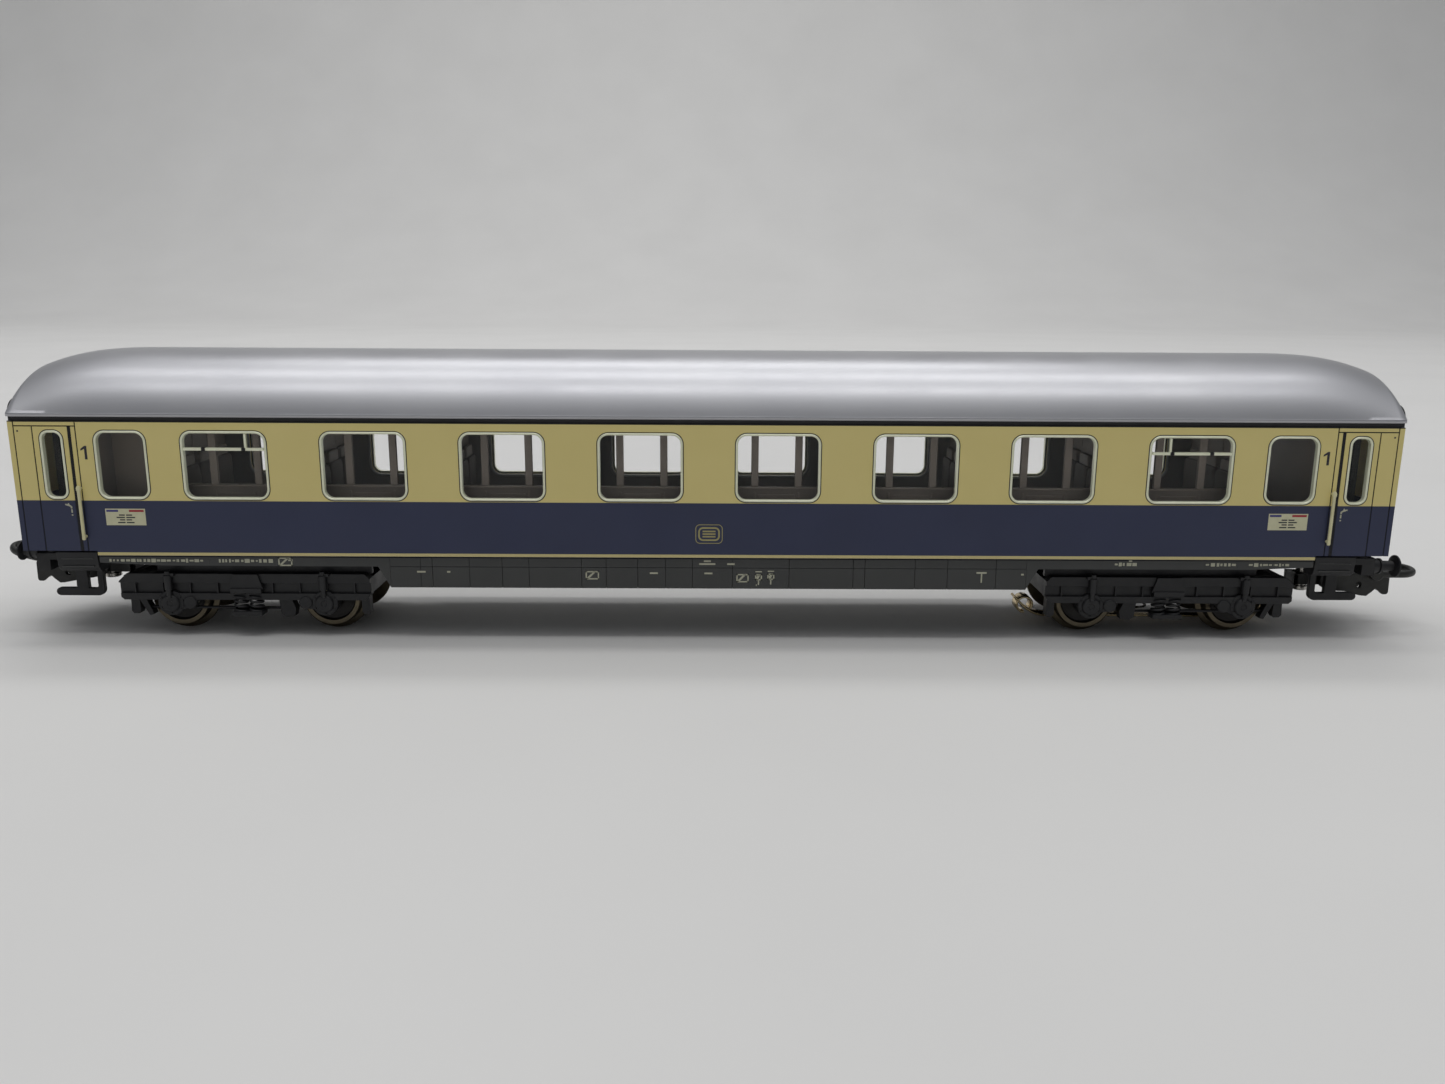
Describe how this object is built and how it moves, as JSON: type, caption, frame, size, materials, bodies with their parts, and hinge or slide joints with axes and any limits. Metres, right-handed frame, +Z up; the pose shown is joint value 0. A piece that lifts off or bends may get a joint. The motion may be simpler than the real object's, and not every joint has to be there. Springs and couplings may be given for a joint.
{
  "type": "model passenger coach",
  "caption": "H0 gauge model passenger coach with swivelling bogies, flanged wheelsets, glazed body, silver roof, deep skirts and swinging loop couplers.",
  "frame": {"origin": "under the middle of the body, on the plane that the wheel flanges rest on", "axes": "+X along the coach towards the right end, +Y across it towards the far side, +Z up"},
  "size_m": [0.2811, 0.0348, 0.0536],
  "materials": {
    "painted_body": "satin paint, cream above dark blue with a thin gold line",
    "silver_roof": "satin silver paint",
    "black_plastic": "moulded satin black",
    "skirt_grey": "satin dark grey paint",
    "clear_glazing": "clear moulded",
    "handrail_cream": "satin cream paint",
    "gangway_rubber": "matt",
    "interior_plastic": "matt grey brown",
    "dark_steel": "blackened steel with bright treads",
    "coupler_metal": "satin dark grey"
  },
  "bodies": {
    "coach_body": {"body_shell": "painted_body", "roof": "silver_roof", "roof_gasket": "black_plastic", "chassis_floor": "black_plastic", "underfloor_equipment": "black_plastic", "buffer_beam_left": "black_plastic", "coupler_pocket_left": "black_plastic", "buffer_beam_right": "black_plastic", "coupler_pocket_right": "black_plastic", "buffer_left_near": "black_plastic", "buffer_left_far": "black_plastic", "buffer_right_near": "black_plastic", "buffer_right_far": "black_plastic", "door_step_left_near": "black_plastic", "door_step_left_far": "black_plastic", "door_step_right_near": "black_plastic", "door_step_right_far": "black_plastic", "skirt_near": "skirt_grey", "skirt_far": "skirt_grey", "end_door_left": "skirt_grey", "end_door_right": "skirt_grey", "glazing_near": "clear_glazing", "glazing_far": "clear_glazing", "light_bar": "clear_glazing", "handrail_left_near": "handrail_cream", "handrail_left_far": "handrail_cream", "handrail_right_near": "handrail_cream", "handrail_right_far": "handrail_cream", "gangway_rubber_left": "gangway_rubber", "gangway_rubber_right": "gangway_rubber", "interior_insert": "interior_plastic", "corridor_wall": "interior_plastic", "ballast_plate": "dark_steel", "kingpin_left": "dark_steel", "kingpin_right": "dark_steel", "coupler_pin_left": "dark_steel", "coupler_pin_right": "dark_steel"},
    "bogie_left": {"bogie_frame_left": "black_plastic"},
    "wheels_left_outer": {"wheelset_left_outer": "dark_steel"},
    "wheels_left_inner": {"wheelset_left_inner": "dark_steel"},
    "coupler_left": {"coupler_arm_left": "coupler_metal"},
    "loop_left": {"coupler_loop_left": "coupler_metal"},
    "bogie_right": {"bogie_frame_right": "black_plastic", "pickup_spring": "dark_steel"},
    "wheels_right_outer": {"wheelset_right_outer": "dark_steel"},
    "wheels_right_inner": {"wheelset_right_inner": "dark_steel"},
    "coupler_right": {"coupler_arm_right": "coupler_metal"},
    "loop_right": {"coupler_loop_right": "coupler_metal"},
    "shoe": {"pickup_shoe": "dark_steel"}
  },
  "joints": [
    {"name": "bogie_left_swivel", "type": "hinge", "parent": "coach_body", "child": "bogie_left", "pos_m": [-0.0872, 0, 0.0135], "axis": [0, 0, 1], "range_deg": [-9, 9]},
    {"name": "wheels_left_outer_spin", "type": "hinge", "parent": "bogie_left", "child": "wheels_left_outer", "pos_m": [-0.1017, 0, 0.0066], "axis": [0, 1, 0], "continuous": true},
    {"name": "wheels_left_inner_spin", "type": "hinge", "parent": "bogie_left", "child": "wheels_left_inner", "pos_m": [-0.0727, 0, 0.0066], "axis": [0, 1, 0], "continuous": true},
    {"name": "coupler_left_swing", "type": "hinge", "parent": "coach_body", "child": "coupler_left", "pos_m": [-0.1195, 0, 0.0107], "axis": [0, 0, 1], "range_deg": [-12, 12]},
    {"name": "loop_left_lift", "type": "hinge", "parent": "coupler_left", "child": "loop_left", "pos_m": [-0.1295, 0, 0.0123], "axis": [0, 1, 0], "range_deg": [-14, 12]},
    {"name": "bogie_right_swivel", "type": "hinge", "parent": "coach_body", "child": "bogie_right", "pos_m": [0.0872, 0, 0.0135], "axis": [0, 0, 1], "range_deg": [-9, 9]},
    {"name": "wheels_right_outer_spin", "type": "hinge", "parent": "bogie_right", "child": "wheels_right_outer", "pos_m": [0.1017, 0, 0.0066], "axis": [0, 1, 0], "continuous": true},
    {"name": "wheels_right_inner_spin", "type": "hinge", "parent": "bogie_right", "child": "wheels_right_inner", "pos_m": [0.0727, 0, 0.0066], "axis": [0, 1, 0], "continuous": true},
    {"name": "coupler_right_swing", "type": "hinge", "parent": "coach_body", "child": "coupler_right", "pos_m": [0.1195, 0, 0.009], "axis": [0, 0, 1], "range_deg": [-12, 12]},
    {"name": "loop_right_lift", "type": "hinge", "parent": "coupler_right", "child": "loop_right", "pos_m": [0.1325, 0, 0.0106], "axis": [0, -1, 0], "range_deg": [0, 26]},
    {"name": "pickup_shoe_press", "type": "slide", "parent": "bogie_right", "child": "shoe", "axis": [0, 0, 1], "range_m": [0, 0.0005], "stiffness_N_per_m": 20, "springref_m": -0.001}
  ]
}
